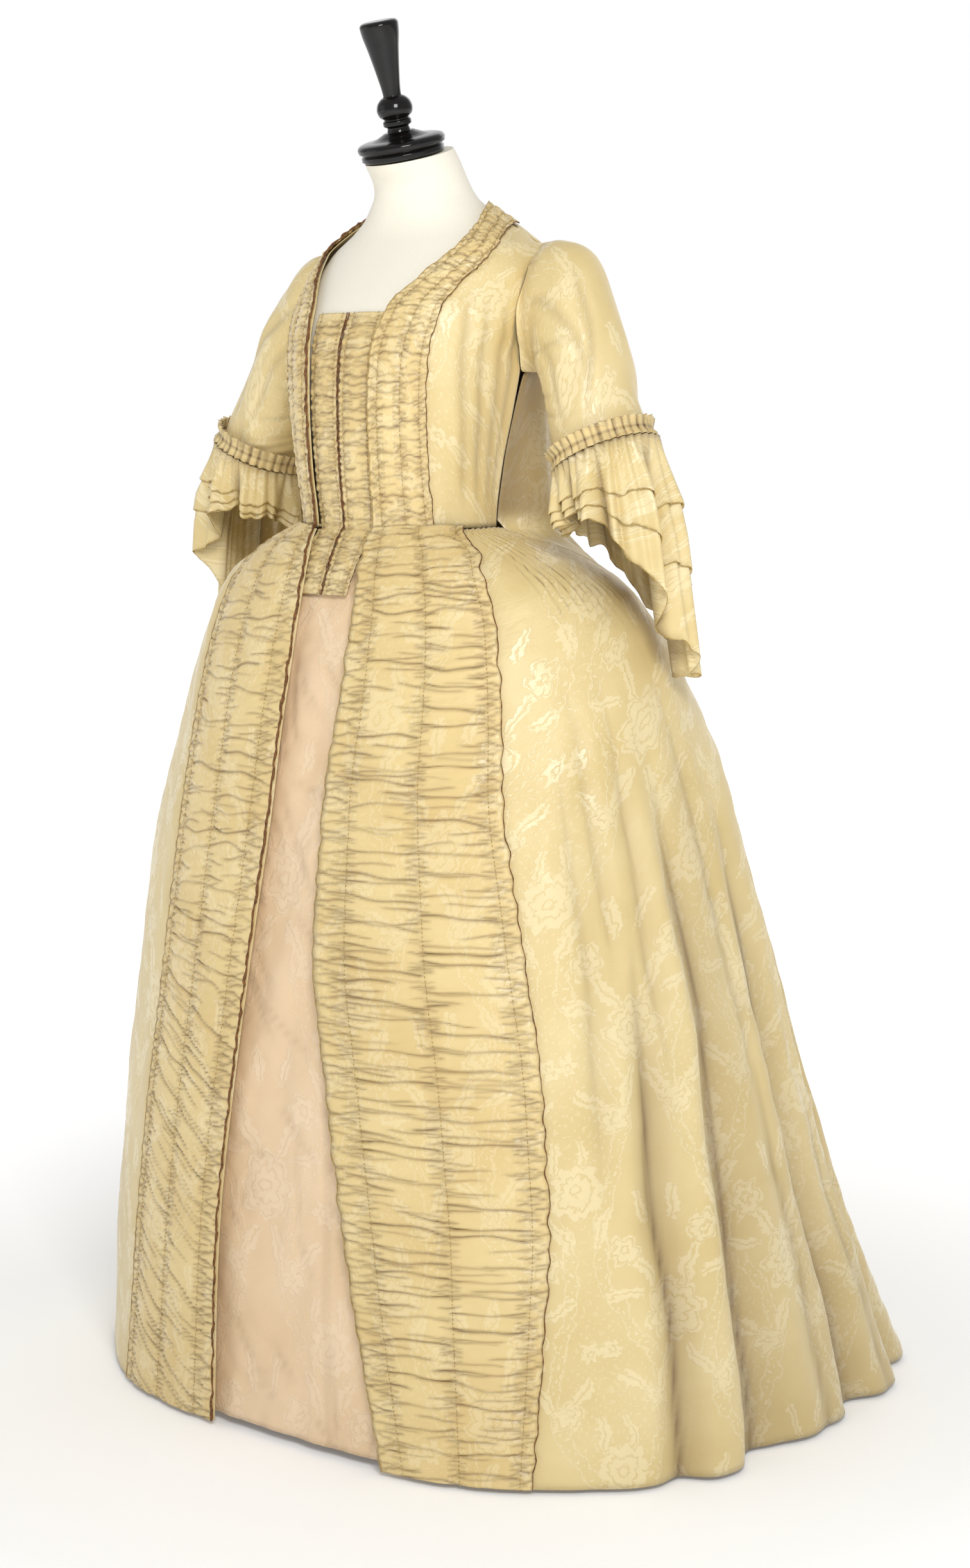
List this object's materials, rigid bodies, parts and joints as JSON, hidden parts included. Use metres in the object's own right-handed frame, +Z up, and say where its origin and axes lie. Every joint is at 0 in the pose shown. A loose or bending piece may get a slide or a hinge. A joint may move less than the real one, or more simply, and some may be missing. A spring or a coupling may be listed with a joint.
{
  "type": "robe a la francaise on a limbless dress form",
  "caption": "Open-fronted sack-back gown with ruched robings, elbow flounces, petticoat and short train, standing on a limbless dress form with a turned finial.",
  "frame": {"origin": "on the floor, at the centre of the stand's round foot and on the axis of its pole", "axes": "+Z up; the wearer faces -Y, and the wearer's left is +X"},
  "size_m": [0.9723, 0.9394, 1.6762],
  "materials": {
    "gown_silk": "woven silk damask, soft sheen",
    "trim_silk": "ruched silk damask, soft sheen",
    "petticoat_silk": "woven silk damask, pale, soft sheen",
    "form_linen": "stretched plain linen, matt",
    "ebonised_wood": "ebonised and polished, gloss",
    "pole_steel": "satin",
    "base_iron": "black enamel"
  },
  "bodies": {
    "root": {"bodice_front_left": "gown_silk", "bodice_front_right": "gown_silk", "bodice_robing_left": "trim_silk", "bodice_robing_right": "trim_silk", "compere_left": "trim_silk", "compere_right": "trim_silk", "skirt_left": "gown_silk", "skirt_right": "gown_silk", "skirt_robing_left": "trim_silk", "skirt_robing_right": "trim_silk", "sack_back": "gown_silk", "petticoat": "petticoat_silk", "sleeve_left": "gown_silk", "sleeve_right": "gown_silk", "cuff_heading_left": "trim_silk", "cuff_heading_right": "trim_silk", "flounce_upper_left": "gown_silk", "flounce_upper_right": "gown_silk", "flounce_middle_left": "gown_silk", "flounce_middle_right": "gown_silk", "flounce_lower_left": "gown_silk", "flounce_lower_right": "gown_silk", "form_torso": "form_linen", "form_neck_cap": "ebonised_wood", "form_finial": "ebonised_wood", "form_pole": "pole_steel", "form_base": "base_iron"}
  },
  "joints": []
}
